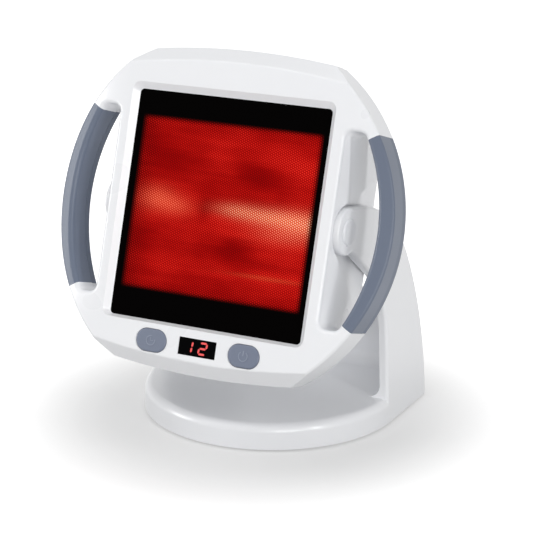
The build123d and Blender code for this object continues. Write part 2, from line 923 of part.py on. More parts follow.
def housing_form(inset, back_w, back_round):
    """Straight box that narrows towards its back, drawn in by inset."""
    narrower = inset + housing_narrowing * (housing_straight_w - back_w)
    with BuildPart() as form:
        with BuildSketch(head.offset(housing_straight_w)):
            RectangleRounded(
                2 * (housing_half_width - inset),
                2 * (housing_half_height - inset),
                housing_corner - inset,
            )
        extrude(amount=parting_w - housing_straight_w)
        with BuildSketch(head.offset(housing_straight_w)):
            RectangleRounded(
                2 * (housing_half_width - inset),
                2 * (housing_half_height - inset),
                housing_corner - inset,
            )
        with BuildSketch(head.offset(back_w)):
            RectangleRounded(
                2 * (housing_half_width - narrower),
                2 * (housing_half_height - narrower),
                housing_corner - inset,
            )
        loft()
        fillet(form.faces().sort_by(head_w)[0].edges(), back_round)
    return form.part


housing_outside = housing_form(0, housing_back_w, housing_back_round)
housing_inside = housing_form(housing_wall, inner_back_w, housing_back_round - housing_wall)
rim_slots = on_both_sides(finger_slot(rear_lip))
rim_gaps = on_both_sides(bow(-slip_gap, slip_gap))

clamp_u = rim_width / 2 - clamp_bite

with BuildSketch() as ear_side:  # in v and w
    with Locations((0, pivot_w)):
        Circle(hub_radius + swing_gap + ear_lip)
    with Locations((0, ear_front_w - 2 * hub_radius)):
        Rectangle(4 * hub_radius, 4 * hub_radius, mode=Mode.INTERSECT)
with BuildSketch() as boss_side:
    with Locations((0, pivot_w)):
        Circle(pivot_boss_radius)
with BuildSketch() as bore_side:
    with Locations((0, pivot_w)):
        Circle(pivot_screw_radius + bearing_gap)
ears = both_flanks(ear_side.sketch, pivot_wall_x, pivot_seat_x)
pivot_bosses = both_flanks(boss_side.sketch, pivot_wall_x - pivot_boss_height, pivot_wall_x)
pivot_bores = both_flanks(bore_side.sketch, pivot_wall_x - pivot_boss_height, pivot_seat_x)

with BuildPart() as pocket_walls:
    add(both_flanks(swing_room(housing_wall), pivot_wall_x, wall_x))
    add(housing_outside, mode=Mode.INTERSECT)

with BuildPart() as rear_housing:
    # rim behind the bezel, a shallow tray with the finger slots
    with BuildSketch(head.offset(rear_rim_w)):
        add(head_outline(rear_lip))
    extrude(amount=rear_rim_depth)
    fillet(rear_housing.faces().sort_by(head_w)[0].edges(), rear_rim_round)
    with BuildSketch(head.offset(rear_rim_w)):
        add(rim_slots)
    extrude(amount=rear_rim_depth, mode=Mode.SUBTRACT)
    fillet(rear_housing.faces().sort_by(head_w)[0].inner_wires().edges(), rear_rim_round)
    with BuildSketch(head.offset(rear_rim_w)):
        add(rim_gaps)
    extrude(amount=rear_rim_depth, mode=Mode.SUBTRACT)
    with BuildSketch(head.offset(rear_rim_w + housing_wall)):
        add(cavity_plan.sketch)
    extrude(amount=rear_rim_depth - housing_wall, mode=Mode.SUBTRACT)
    with BuildSketch(head.offset(rear_rim_w + housing_wall)):
        with Locations(*four(*housing_screw_spots)):
            Circle(boss_radius)
    extrude(amount=rear_rim_depth - housing_wall)
    # box for the heater and the fan, with pockets for the hubs and arms
    add(housing_outside)
    add(housing_inside, mode=Mode.SUBTRACT)
    add(pocket_walls.part)
    add(swing_cut, mode=Mode.SUBTRACT)
    add(ears)
    add(pivot_bosses)
    add(pivot_bores, mode=Mode.SUBTRACT)
    # shadow line behind the bezel's edge, round the outside and in the finger slots
    with BuildSketch(head.offset(parting_w)):
        add(head_outline(0))
        add(head_outline(rear_lip + seam_depth), mode=Mode.SUBTRACT)
        add(on_both_sides(finger_slot(rear_lip + seam_depth)))
    extrude(amount=-seam_width, mode=Mode.SUBTRACT)
    # ribs at the sides that press the reflector's rim and the glass forwards
    with BuildSketch(head.offset(rim_w - sheet - clamp_drop)):
        with Locations(*four(((clamp_u + wall_x) / 2, clamp_v))):
            Rectangle(wall_x - clamp_u, clamp_length)
    extrude(amount=clamp_drop)
    # posts for the heat shield
    with BuildSketch(head.offset(inner_back_w)):
        with Locations(*shield_posts):
            Circle(boss_radius)
    extrude(amount=shield_back_w - inner_back_w)
    with BuildSketch(head.offset(shield_back_w)):
        with Locations(*shield_posts):
            Circle(screw_radius)
    extrude(amount=-screw_bite, mode=Mode.SUBTRACT)
    # screw holes into the bezel's bosses, with seats for the heads, and into the fan
    with BuildSketch(head.offset(rear_rim_w)):
        with Locations(*four(*housing_screw_spots)):
            Circle(screw_radius)
    extrude(amount=rear_rim_depth, mode=Mode.SUBTRACT)
    with BuildSketch(head.offset(rear_rim_w)):
        with Locations(*four(*housing_screw_spots)):
            Circle(screw_head_radius + face_gap)
    extrude(amount=screw_head_height, mode=Mode.SUBTRACT)
    with BuildSketch(head.offset(housing_back_w)):
        with Locations(*four((fan_hole, fan_hole))):
            Circle(fan_screw_radius + bearing_gap)
    extrude(amount=housing_wall, mode=Mode.SUBTRACT)
    # round grille behind the fan, with an upright rib
    with BuildSketch(head.offset(housing_back_w)):
        with GridLocations(0, vent_pitch, 1, vent_count):
            Rectangle(2 * grille_radius, vent_height)
        Circle(grille_radius, mode=Mode.INTERSECT)
        Rectangle(grille_rib, 2 * grille_radius, mode=Mode.SUBTRACT)
    extrude(amount=housing_wall, mode=Mode.SUBTRACT)
    # slots in the top and bottom walls
    with BuildSketch(head_plan):
        with Locations((0, top_vent_w)):
            with GridLocations(top_vent_pitch, 0, top_vent_count, 1):
                SlotOverall(top_vent_length, top_vent_width, rotation=90)
    extrude(amount=housing_half_height, both=True, mode=Mode.SUBTRACT)
finish(rear_housing, "rear_housing")

housing_screws = screws(
    rear(screw_seat_w),
    four(*housing_screw_spots),
    screw_radius - bearing_gap,
    parting_w - screw_seat_w + screw_bite,
    screw_head_radius,
    screw_head_height,
)
finish(housing_screws, "housing_screws")

# ---------------------------------------------------------------- fan
fan_front_w = inner_back_w + fan_depth
rotor_back_w = inner_back_w + fan_spoke_depth + rotor_gap
rotor_front_w = rotor_back_w + rotor_depth
motor_front_w = rotor_front_w - rotor_wall - slip_gap

with BuildPart() as fan_frame:
    with BuildSketch(head.offset(inner_back_w)):
        RectangleRounded(fan_size, fan_size, fan_corner)
        Circle(fan_bore_radius, mode=Mode.SUBTRACT)
    extrude(amount=fan_depth)
    with BuildSketch(head.offset(inner_back_w)):
        Rectangle(2 * fan_bore_radius + fan_spoke, fan_spoke, rotation=45)
        Rectangle(2 * fan_bore_radius + fan_spoke, fan_spoke, rotation=-45)
        Circle(fan_motor_radius)
    extrude(amount=fan_spoke_depth)
    with BuildSketch(head.offset(inner_back_w)):
        Circle(fan_motor_radius)
    extrude(amount=motor_front_w - inner_back_w)
    with BuildSketch(head.offset(inner_back_w)):
        Circle(shaft_radius)
    extrude(amount=rotor_front_w + shaft_proud - inner_back_w)
    with BuildSketch(head.offset(inner_back_w)):
        with Locations(*four((fan_hole, fan_hole))):
            Circle(fan_screw_radius)
    extrude(amount=fan_depth, mode=Mode.SUBTRACT)
finish(fan_frame, "fan_frame")

fan_screws = screws(
    rear(housing_back_w),
    four((fan_hole, fan_hole)),
    fan_screw_radius - bearing_gap,
    housing_wall + fan_screw_bite,
    screw_head_radius,
    screw_head_height,
)
finish(fan_screws, "fan_screws")

blade_root = rotor_hub_radius - rotor_wall
blade_middle = head.offset((rotor_back_w + rotor_front_w) / 2).origin
blade_planes = []
for number in range(blade_count):
    turn = 2 * pi * number / blade_count
    outward = head.x_dir * cos(turn) + head.y_dir * sin(turn)
    blade_planes.append(
        Plane(origin=blade_middle + outward * blade_root, x_dir=face_normal, z_dir=outward)
    )

with BuildPart() as fan_rotor:
    with BuildSketch(head.offset(rotor_back_w)):
        Circle(rotor_hub_radius)
    extrude(amount=rotor_depth)
    with BuildSketch(*blade_planes):
        Rectangle(blade_width, blade_thickness, rotation=90 - blade_angle)
    extrude(amount=rotor_radius - blade_root)
    with BuildSketch(head.offset(rotor_back_w)):
        Circle(rotor_radius)
    extrude(amount=rotor_depth, mode=Mode.INTERSECT)
    with BuildSketch(head.offset(rotor_back_w)):
        Circle(rotor_hub_radius - rotor_wall)
    extrude(amount=rotor_depth - rotor_wall, mode=Mode.SUBTRACT)
    with BuildSketch(head.offset(rotor_back_w)):
        Circle(shaft_radius + bearing_gap)
    extrude(amount=rotor_depth, mode=Mode.SUBTRACT)
finish(fan_rotor, "fan_rotor")

# ---------------------------------------------------------------- tilt pivots
bush_outer_x = hub_outer_x - hub_cap_depth - hub_recess
cap_seat_x = hub_outer_x - hub_cap_depth
screw_seat_x = bush_outer_x + face_gap
across = Plane(origin=(0, pivot_y, pivot_z), x_dir=(0, 1, 0), z_dir=(1, 0, 0))

with BuildPart() as right_pivot_screw:
    with BuildSketch(across.offset(screw_end_x)):
        Circle(pivot_screw_radius)
    extrude(amount=screw_seat_x - screw_end_x)
    with BuildSketch(across.offset(screw_seat_x)):
        Circle(pivot_head_radius)
    extrude(amount=pivot_head_height)
    with BuildSketch(across.offset(screw_seat_x + pivot_head_height / 2)):
        RegularPolygon(pivot_screw_radius, 6)
    extrude(amount=pivot_head_height / 2, mode=Mode.SUBTRACT)
finish(right_pivot_screw, "right_pivot_screw")
left_pivot_screw = mirrored(right_pivot_screw)
finish(left_pivot_screw, "left_pivot_screw")

with BuildPart() as pivot_nuts:
    with BuildSketch(across.offset(pivot_wall_x - pivot_boss_height - nut_height)):
        RegularPolygon(nut_width / 2, 6, major_radius=False)
        Circle(pivot_screw_radius + bearing_gap, mode=Mode.SUBTRACT)
    extrude(amount=nut_height)
    mirror(about=Plane.YZ)
finish(pivot_nuts, "pivot_nuts")

with BuildPart() as right_friction_washer:
    with BuildSketch(across.offset(pivot_seat_x)):
        Circle(washer_radius)
        Circle(pivot_screw_radius + bearing_gap, mode=Mode.SUBTRACT)
    extrude(amount=washer_thickness)
finish(right_friction_washer, "right_friction_washer")
left_friction_washer = mirrored(right_friction_washer)
finish(left_friction_washer, "left_friction_washer")

with BuildPart() as right_hub_bush:
    with BuildSketch(across.offset(hub_inner_x)):
        Circle(pivot_screw_radius + bush_wall)
        Circle(pivot_screw_radius + bearing_gap, mode=Mode.SUBTRACT)
    extrude(amount=bush_outer_x - hub_inner_x)
finish(right_hub_bush, "right_hub_bush")
left_hub_bush = mirrored(right_hub_bush)
finish(left_hub_bush, "left_hub_bush")

with BuildPart() as right_hub_cap:
    with BuildSketch(across.offset(cap_seat_x)):
        Circle(hub_cap_radius)
    extrude(amount=hub_cap_depth + hub_cap_proud)
    fillet(right_hub_cap.faces().sort_by(Axis.X)[-1].edges(), hub_cap_proud - bearing_gap)
finish(right_hub_cap, "right_hub_cap")
left_hub_cap = mirrored(right_hub_cap)
finish(left_hub_cap, "left_hub_cap")

# ---------------------------------------------------------------- stand outlines
# side views, with y across and z up
with BuildSketch() as arm_side:
    with BuildLine():
        top_edge = PolarLine(
            (pivot_y + hub_radius * sin(arm_top_slope), pivot_z + hub_radius * cos(arm_top_slope)),
            arm_top_run,
            -arm_top_fall,
        )
        upper_back = TangentArc(top_edge @ 1, (shoulder_y, shoulder_z), tangent=top_edge % 1)
        lower_back = TangentArc(
            upper_back @ 1, (foot_y, ground_gap), tangent=upper_back % 1
        )
        Polyline(
            lower_back @ 1,
            (arm_front_y, ground_gap),
            (arm_front_y, arm_knee_z),
            arm_root,
            (pivot_y, pivot_z),
            top_edge @ 0,
        )
    make_face()
    knee = arm_side.vertices().sort_by_distance((arm_front_y, arm_knee_z))[0]
    fillet(knee, arm_knee_round)
    with Locations((pivot_y, pivot_z)):
        Circle(hub_radius)
    fillet(arm_side.vertices().sort_by_distance(arm_root)[0], hub_fillet)

# the room between the arms, in front of the back wall, whose edge thins out upwards
heading = upper_back % 1
shoulder_inside = upper_back @ 1 - Vector(-heading.Y, heading.X) * back_wall
flange_end = upper_back @ 0.5 + Vector(0, yoke_fillet / 2)
with BuildSketch() as yoke_side:
    with BuildLine():
        inner_back = TangentArc(
            shoulder_inside, (foot_y - back_wall, ground_gap), tangent=heading
        )
        inner_top = TangentArc(shoulder_inside, flange_end, tangent=-heading)
        Polyline(
            inner_back @ 1,
            (-foot_y * 2, ground_gap),
            (-foot_y * 2, 2 * pivot_z),
            (flange_end.X, 2 * pivot_z),
            inner_top @ 1,
        )
    make_face()
    with Locations((0, base_height + pivot_z)):
        Rectangle(4 * foot_y, 2 * pivot_z, mode=Mode.INTERSECT)


def between_flanks(inset):
    """Wedge between the two leaning flanks, drawn in by inset."""
    low = base_radius - inset / cos(slope)
    with BuildPart() as wedge:
        with BuildSketch(Plane.XZ):
            with BuildLine():
                Polyline(
                    (-low, 0),
                    (low, 0),
                    (low - 2 * pivot_z * tan(slope), 2 * pivot_z),
                    (2 * pivot_z * tan(slope) - low, 2 * pivot_z),
                    close=True,
                )
            make_face()
        extrude(amount=3 * foot_y, both=True)
    return wedge.part


flank_wedge = between_flanks(0)
yoke_wedge = between_flanks(arm_thickness)
base_middle_y = (arm_front_y + foot_y) / 2
ground_reach = base_radius - ground_gap * tan(slope)

with BuildPart() as arm_block:
    with BuildSketch(Plane.YZ):
        add(arm_side.sketch)
    extrude(amount=base_radius, both=True)
    add(flank_wedge, mode=Mode.INTERSECT)
    flank_faces = arm_block.faces().sort_by(Axis.X)
    rims = flank_faces[0].edges() + flank_faces[-1].edges()
    fillet(rims.filter_by(lambda edge: edge.center().Z > 2 * ground_gap), arm_edge_round)

with BuildPart() as yoke_room:
    with BuildSketch(Plane.YZ):
        add(yoke_side.sketch)
    extrude(amount=base_radius, both=True)
    add(yoke_wedge, mode=Mode.INTERSECT)
    sides = yoke_room.faces().sort_by(Axis.X)
    corners = sides[0].edges() + sides[-1].edges()
    corners = corners.filter_by(lambda edge: not edge.geom_type == GeomType.LINE)
    floor_edges = yoke_room.faces().sort_by(Axis.Z)[0].edges().sort_by(Axis.Y)[1:]
    fillet(corners + floor_edges, yoke_fillet)

with BuildPart() as base_block:
    with BuildSketch(Plane.XY.offset(ground_gap)):
        with Locations((0, base_y)):
            Circle(ground_reach)
        with Locations((0, base_middle_y - 2 * base_radius)):
            Rectangle(4 * base_radius, 4 * base_radius, mode=Mode.INTERSECT)
    extrude(amount=base_height - ground_gap, taper=draft)
    top_arc = base_block.faces().sort_by(Axis.Z)[-1].edges().sort_by(Axis.Y)[0]
    fillet(top_arc, base_edge_round)

with BuildPart() as base_room:
    with BuildSketch(Plane.XY.offset(ground_gap)) as room_plan:
        with Locations((0, base_y)):
            Circle(ground_reach - base_wall)
        with Locations((0, base_y - 2 * base_radius)):
            Rectangle(4 * base_radius, 4 * base_radius, mode=Mode.INTERSECT)
        with Locations((0, (base_y + foot_y - back_wall) / 2)):
            Rectangle(2 * (ground_reach - base_wall), foot_y - back_wall - base_y)
    extrude(amount=base_height - base_wall - ground_gap, taper=draft)
    fillet(base_room.faces().sort_by(Axis.Z)[-1].edges(), base_edge_round - base_wall)

# ---------------------------------------------------------------- stand shell
base_screw_spots = both(base_screw_back, base_screw_side) + [base_screw_front]
boss_seat_z = ground_gap + plate_thickness

gland_plane = Plane(origin=(gland_x, foot_y, gland_z), x_dir=(-1, 0, 0), z_dir=(0, 1, 0))
cover_front_y = pivot_y + hub_radius + cover_hub_gap

with BuildSketch() as hub_side:
    with Locations((pivot_y, pivot_z)):
        Circle(hub_radius)
with BuildSketch() as hub_clear_side:
    with Locations((pivot_y, pivot_z)):
        Circle(hub_radius + hub_fillet)

# wire channels up the insides of the arms, and the seats of their covers
with BuildSketch() as flat_side:
    add(yoke_side.sketch)
    offset(amount=-yoke_fillet - slip_gap)
with BuildSketch() as cover_side:
    add(arm_side.sketch)
    offset(amount=-cover_margin)
    add(flat_side.sketch, mode=Mode.INTERSECT)
    with Locations((cover_front_y + foot_y, cover_low_z + pivot_z)):
        Rectangle(2 * foot_y, 2 * pivot_z, mode=Mode.INTERSECT)
with BuildSketch() as channel_side:
    add(cover_side.sketch)
    offset(amount=-cover_ledge)
    with Locations(*cover_screw_spots):
        Circle(cover_boss_radius, mode=Mode.SUBTRACT)
with BuildSketch() as cover_holes:
    with Locations(*cover_screw_spots):
        Circle(grip_screw_radius + bearing_gap)

with BuildPart() as right_seat:
    with BuildSketch(arm_inside):
        add(cover_side.sketch)
    extrude(amount=cover_thickness)
with BuildPart() as right_room:
    with BuildSketch(arm_inside.offset(cover_thickness)):
        add(channel_side.sketch)
    extrude(amount=wire_channel)
    with BuildSketch(arm_inside):
        add(cover_holes.sketch)
    extrude(amount=cover_thickness + wire_channel)
left_seat = mirrored(right_seat)
left_room = mirrored(right_room)

with BuildPart() as right_hub:
    with BuildSketch(Plane.YZ.offset(hub_inner_x)):
        add(hub_side.sketch)
    extrude(amount=hub_thickness)
    fillet(right_hub.faces().sort_by(Axis.X)[-1].edges(), hub_edge_round)
left_hub = mirrored(right_hub)

with BuildPart() as right_bore:
    with BuildSketch(across.offset(hub_inner_x)):
        Circle(pivot_screw_radius + bush_wall)
    extrude(amount=hub_thickness)
    with BuildSketch(across.offset(bush_outer_x)):
        Circle(hub_cap_radius)
    extrude(amount=hub_outer_x - bush_outer_x)
left_bore = mirrored(right_bore)

with BuildPart() as stand_shell:
    add(arm_block.part)
    add(base_block.part)
    add(yoke_room.part, mode=Mode.SUBTRACT)
    add(base_room.part, mode=Mode.SUBTRACT)
    # the back wall is cut down between the arms
    with BuildSketch(Plane.XZ) as back_cut:
        with Locations((0, back_wall_top + pivot_z)):
            Rectangle(2 * back_cut_half_width, 2 * pivot_z)
        fillet(back_cut.vertices().group_by(Axis.Y)[0], back_cut_round)
    extrude(amount=2 * foot_y, both=True, mode=Mode.SUBTRACT)
    # hubs
    with BuildSketch(Plane.YZ.offset(-hub_inner_x)):
        add(hub_clear_side.sketch)
    extrude(amount=2 * hub_inner_x, mode=Mode.SUBTRACT)
    add(right_hub.part)
    add(left_hub.part)
    add(right_bore.part, mode=Mode.SUBTRACT)
    add(left_bore.part, mode=Mode.SUBTRACT)
    # arm channels
    add(right_seat.part, mode=Mode.SUBTRACT)
    add(left_seat.part, mode=Mode.SUBTRACT)
    add(right_room.part, mode=Mode.SUBTRACT)
    add(left_room.part, mode=Mode.SUBTRACT)
    # bosses for the base plate's screws
    with BuildSketch(Plane.XY.offset(boss_seat_z)):
        with Locations(*base_screw_spots):
            Circle(boss_radius)
    extrude(amount=base_height - base_wall - boss_seat_z)
    with BuildSketch(Plane.XY.offset(boss_seat_z)):
        with Locations(*base_screw_spots):
            Circle(screw_radius)
    extrude(amount=screw_bite, mode=Mode.SUBTRACT)
    # seat of the cord gland
    with BuildSketch(gland_plane):
        Circle(gland_radius)
    extrude(amount=-gland_depth, mode=Mode.SUBTRACT)
    with BuildSketch(gland_plane):
        Circle(gland_flange + bearing_gap)
    extrude(amount=-gland_flange_depth, mode=Mode.SUBTRACT)
finish(stand_shell, "stand_shell")

with BuildPart() as right_arm_cover:
    with BuildSketch(arm_inside):
        add(cover_side.sketch)
        offset(amount=-bearing_gap)
    extrude(amount=cover_thickness)
    with BuildSketch(arm_inside):
        add(cover_holes.sketch)
    extrude(amount=cover_thickness, mode=Mode.SUBTRACT)
    with BuildSketch(arm_inside):
        with Locations(*cover_screw_spots):
            Circle(small_head_radius + slip_gap)
    extrude(amount=small_head_height, mode=Mode.SUBTRACT)
finish(right_arm_cover, "right_arm_cover")
left_arm_cover = mirrored(right_arm_cover)
finish(left_arm_cover, "left_arm_cover")

inward = Plane(origin=arm_inside.origin, x_dir=(0, -1, 0), z_dir=-arm_inside.z_dir)
right_cover_screws = screws(
    inward.offset(-small_head_height),
    [(-along, up) for along, up in cover_screw_spots],
    grip_screw_radius,
    cover_thickness + wire_channel - small_head_height,
    small_head_radius,
    small_head_height,
)
with BuildPart() as arm_cover_screws:
    add(right_cover_screws.part)
    mirror(about=Plane.YZ)
finish(arm_cover_screws, "arm_cover_screws")

# ---------------------------------------------------------------- under the base
with BuildPart() as base_plate:
    with BuildSketch(Plane.XY.offset(ground_gap)):
        add(room_plan.sketch)
        offset(amount=-slip_gap - plate_thickness * tan(slope))
    extrude(amount=plate_thickness)
    with BuildSketch(Plane.XY.offset(ground_gap)):
        with Locations(*base_screw_spots):
            Circle(screw_radius)
    extrude(amount=plate_thickness, mode=Mode.SUBTRACT)
finish(base_plate, "base_plate")

with BuildPart() as ballast_plate:
    with BuildSketch(Plane.XY.offset(boss_seat_z)):
        with Locations((0, ballast_y)):
            RectangleRounded(ballast_width, ballast_length, base_edge_round)
    extrude(amount=ballast_height)
finish(ballast_plate, "ballast_plate")

with BuildPart() as rubber_feet:
    with BuildSketch():
        with Locations(*both(foot_back, foot_front)):
            Circle(foot_radius)
    extrude(amount=ground_gap)
    soles = rubber_feet.faces().sort_by(Axis.Z)[: len(rubber_feet.solids())]
    fillet(soles.edges(), foot_edge_round)
finish(rubber_feet, "rubber_feet")

base_screws = screws(
    Plane(origin=(0, 0, ground_gap), x_dir=(1, 0, 0), z_dir=(0, 0, -1)),
    [(across_x, -along_y) for across_x, along_y in base_screw_spots],
    screw_radius - bearing_gap,
    plate_thickness + screw_bite,
    screw_head_radius,
    small_head_height,
)
finish(base_screws, "base_screws")

with BuildPart() as cord_gland:
    with BuildSketch(gland_plane.offset(-gland_depth)):
        Circle(gland_radius)
    extrude(amount=gland_depth - gland_flange_depth)
    with BuildSketch(gland_plane.offset(-gland_flange_depth)):
        Circle(gland_flange)
    extrude(amount=gland_flange_depth - face_gap)
    with BuildSketch(gland_plane.offset(-back_wall - 2 * gland_collar_depth)):
        Circle(gland_collar)
    extrude(amount=gland_collar_depth)
    with BuildSketch(gland_plane.offset(-gland_depth)):
        Circle(gland_bore)
    extrude(amount=gland_depth, mode=Mode.SUBTRACT)
finish(cord_gland, "cord_gland")
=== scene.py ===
"""Infrared heat therapy lamp: materials, lit glass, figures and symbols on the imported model.

Places in the room are in metres. The head leans back at rest, so its details are laid out in
millimetres in the head's own frame: u across, v up its face and w out of it, from the middle
of the glass's front.
"""

import json
from math import atan2, cos, pi, radians, sin, sqrt, tan

import bmesh
import bpy
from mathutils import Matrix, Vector


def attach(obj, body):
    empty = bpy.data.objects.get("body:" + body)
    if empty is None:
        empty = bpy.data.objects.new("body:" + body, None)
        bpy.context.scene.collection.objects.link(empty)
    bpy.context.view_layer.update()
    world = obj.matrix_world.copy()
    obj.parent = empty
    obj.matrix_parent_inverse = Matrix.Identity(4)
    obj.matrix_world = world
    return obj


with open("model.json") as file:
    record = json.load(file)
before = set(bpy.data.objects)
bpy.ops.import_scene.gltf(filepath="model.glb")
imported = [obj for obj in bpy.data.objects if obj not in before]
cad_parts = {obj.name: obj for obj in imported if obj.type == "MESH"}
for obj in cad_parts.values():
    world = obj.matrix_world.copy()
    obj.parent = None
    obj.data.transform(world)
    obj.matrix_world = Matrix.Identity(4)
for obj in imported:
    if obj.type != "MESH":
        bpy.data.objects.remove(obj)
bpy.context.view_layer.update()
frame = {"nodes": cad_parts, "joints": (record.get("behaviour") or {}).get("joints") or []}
nodes = frame["nodes"]
joints = {joint["name"]: joint for joint in frame["joints"]}
MM = 0.001

# ---------------------------------------------------------------- the head's frame
GLASS_AHEAD = 16.0 * MM  # of the pivot
U = Vector((1.0, 0.0, 0.0))
W = Vector(joints["fan_spin"]["axis"]).normalized()  # the fan's shaft stands square to the glass
V = W.cross(U)
LEAN = atan2(W.z, -W.y)
HEAD = Vector(joints["head_tilt"]["pos_m"]) + W * GLASS_AHEAD

FACE_W = 4.5  # bezel front
PANEL_V = -94.0  # middle of the buttons and the display
BUTTON_U = 36.4
BUTTON_TOP_W = FACE_W + 1.0
LENS_TOP_W = FACE_W - 0.4


def head_point(u, v, w):
    """A point given in millimetres in the head's frame."""
    return HEAD + (U * u + V * v + W * w) * MM


# ---------------------------------------------------------------- camera
TARGET = Vector((-0.0012, 0.0282, 0.098))
AZIMUTH = radians(27.0)
ELEVATION = radians(17.8)
DISTANCE = 1.4
FOCAL_PIXELS = 1890.0
LONG_SIDE_PIXELS = 554.0
SENSOR = 36.0
FAR_CLIP = 20.0


def make_camera():
    """Camera at the photograph's angle."""
    data = bpy.data.cameras.new("camera")
    data.sensor_width = SENSOR
    data.lens = SENSOR * FOCAL_PIXELS / LONG_SIDE_PIXELS
    data.clip_end = FAR_CLIP
    camera = bpy.data.objects.new("camera", data)
    bpy.context.scene.collection.objects.link(camera)
    back = Vector((sin(AZIMUTH) * cos(ELEVATION), -cos(AZIMUTH) * cos(ELEVATION), sin(ELEVATION)))
    camera.location = TARGET + back * DISTANCE
    camera.rotation_euler = back.to_track_quat("Z", "Y").to_euler()
    bpy.context.scene.camera = camera


# ---------------------------------------------------------------- node helpers
def calc(tree, operation, *values):
    """A math node on sockets and numbers."""
    node = tree.nodes.new("ShaderNodeMath")
    node.operation = operation
    for socket, value in zip(node.inputs, values):
        if isinstance(value, (int, float)):
            socket.default_value = value
        else:
            tree.links.new(value, socket)
    return node.outputs[0]


def total(tree, start, *terms):
    """A number or factor plus weighted factors."""
    for factor, weight in terms:
        start = calc(tree, "MULTIPLY_ADD", factor, weight, start)
    return start


def ramp(tree, value, start, end, low=0.0, high=1.0):
    """A smooth step of a value, low at start and high at end."""
    node = tree.nodes.new("ShaderNodeMapRange")
    node.interpolation_type = "SMOOTHSTEP"
    tree.links.new(value, node.inputs["Value"])
    node.inputs["From Min"].default_value = start
    node.inputs["From Max"].default_value = end
    node.inputs["To Min"].default_value = low
    node.inputs["To Max"].default_value = high
    return node.outputs["Result"]


def spread(tree, factor, low, high):
    """A factor stretched from low to high."""
    node = tree.nodes.new("ShaderNodeMapRange")
    tree.links.new(factor, node.inputs["Value"])
    node.inputs["To Min"].default_value = low
    node.inputs["To Max"].default_value = high
    return node.outputs["Result"]


def blend_colours(tree, factor, first, second):
    """A colour between two, each a socket or a colour, by a factor."""
    node = tree.nodes.new("ShaderNodeMix")
    node.data_type = "RGBA"
    tree.links.new(factor, node.inputs[0])
    for place, colour in ((6, first), (7, second)):  # the node's colour sockets
        if isinstance(colour, tuple):
            node.inputs[place].default_value = colour
        else:
            tree.links.new(colour, node.inputs[place])
    return node.outputs[2]


def noise(tree, place, scale, detail=3.0, roughness=0.5):
    """A noise texture's factor."""
    texture = tree.nodes.new("ShaderNodeTexNoise")
    texture.inputs["Scale"].default_value = scale
    texture.inputs["Detail"].default_value = detail
    texture.inputs["Roughness"].default_value = roughness
    tree.links.new(place, texture.inputs["Vector"])
    return texture.outputs["Fac"]


def mapped(tree, place, kind, location=(0, 0, 0), rotation=(0, 0, 0), scale=(1, 1, 1)):
    """Coordinates moved, turned and scaled."""
    node = tree.nodes.new("ShaderNodeMapping")
    node.vector_type = kind
    node.inputs["Location"].default_value = location
    node.inputs["Rotation"].default_value = rotation
    node.inputs["Scale"].default_value = scale
    tree.links.new(place, node.inputs["Vector"])
    return node.outputs["Vector"]


def bump(tree, shader, height, distance):
    """Surface relief of that many metres."""
    node = tree.nodes.new("ShaderNodeBump")
    node.inputs["Distance"].default_value = distance
    tree.links.new(height, node.inputs["Height"])
    tree.links.new(node.outputs["Normal"], shader.inputs["Normal"])


def srgb(red, green, blue):
    """Linear colour with alpha from 0 to 255 display values."""
    linear = []
    for value in (red, green, blue):
        value /= 255.0
        linear.append(value / 12.92 if value <= 0.04045 else ((value + 0.055) / 1.055) ** 2.4)
    return (*linear, 1.0)


# ---------------------------------------------------------------- light and floor
WORLD_LIGHT = 0.31
LAMP_MIDDLE = Vector((0.0, 0.0, 0.12))
SOFT_BOXES = (  # name, place, width, height, watts
    ("top_box", (-0.2, -0.3, 2.4), 2.0, 2.0, 14.0),
    ("front_box", (-1.3, -1.7, 2.2), 1.5, 1.5, 5.0),
    ("right_box", (2.05, -0.95, 0.5), 0.22, 1.8, 17.0),  # a tall strip, for a line on the right grip
    ("left_box", (-2.0, -1.2, 0.5), 0.9, 0.9, 18.0),
    ("side_box", (1.5, -1.9, 0.4), 1.2, 0.6, 14.0),
)

FLOOR_SIZE = 12.0
FLOOR_ALBEDO = 0.5
# Less white is added to the floor next to the lamp, so the floor there shows a painted shadow on top
# of the real one.
FLOOR_LIFT = 0.4  # white added to what is seen of the floor next to the lamp
SHADOW_RADIUS = 0.1
WHITE_RADIUS = 0.25


def make_soft_boxes():
    """Rectangular lamps round the object, aimed at its middle."""
    for name, place, width, height, watts in SOFT_BOXES:
        data = bpy.data.lights.new(name, "AREA")
        data.shape = "RECTANGLE"
        data.size = width
        data.size_y = height
        data.energy = watts
        light = bpy.data.objects.new(name, data)
        bpy.context.scene.collection.objects.link(light)
        light.location = place
        light.rotation_euler = (Vector(place) - LAMP_MIDDLE).to_track_quat("Z", "Y").to_euler()


def shown(tree):
    """A factor that is 1 for rays that show the backdrop, directly or in a reflection."""
    path = tree.nodes.new("ShaderNodeLightPath").outputs
    straight = calc(tree, "MAXIMUM", path["Is Camera Ray"], path["Is Transmission Ray"])
    return calc(tree, "MAXIMUM", straight, path["Is Glossy Ray"])


def make_world():
    """White surroundings, dimmer as a light than they look."""
    world = bpy.data.worlds.new("studio")
    bpy.context.scene.world = world
    world.use_nodes = True
    tree = world.node_tree
    tree.nodes.clear()
    back = tree.nodes.new("ShaderNodeBackground")
    back.inputs["Color"].default_value = (1.0, 1.0, 1.0, 1.0)
    strength = calc(tree, "MULTIPLY_ADD", shown(tree), 1.0 - WORLD_LIGHT, WORLD_LIGHT)
    tree.links.new(strength, back.inputs["Strength"])
    out = tree.nodes.new("ShaderNodeOutputWorld")
    tree.links.new(back.outputs[0], out.inputs["Surface"])


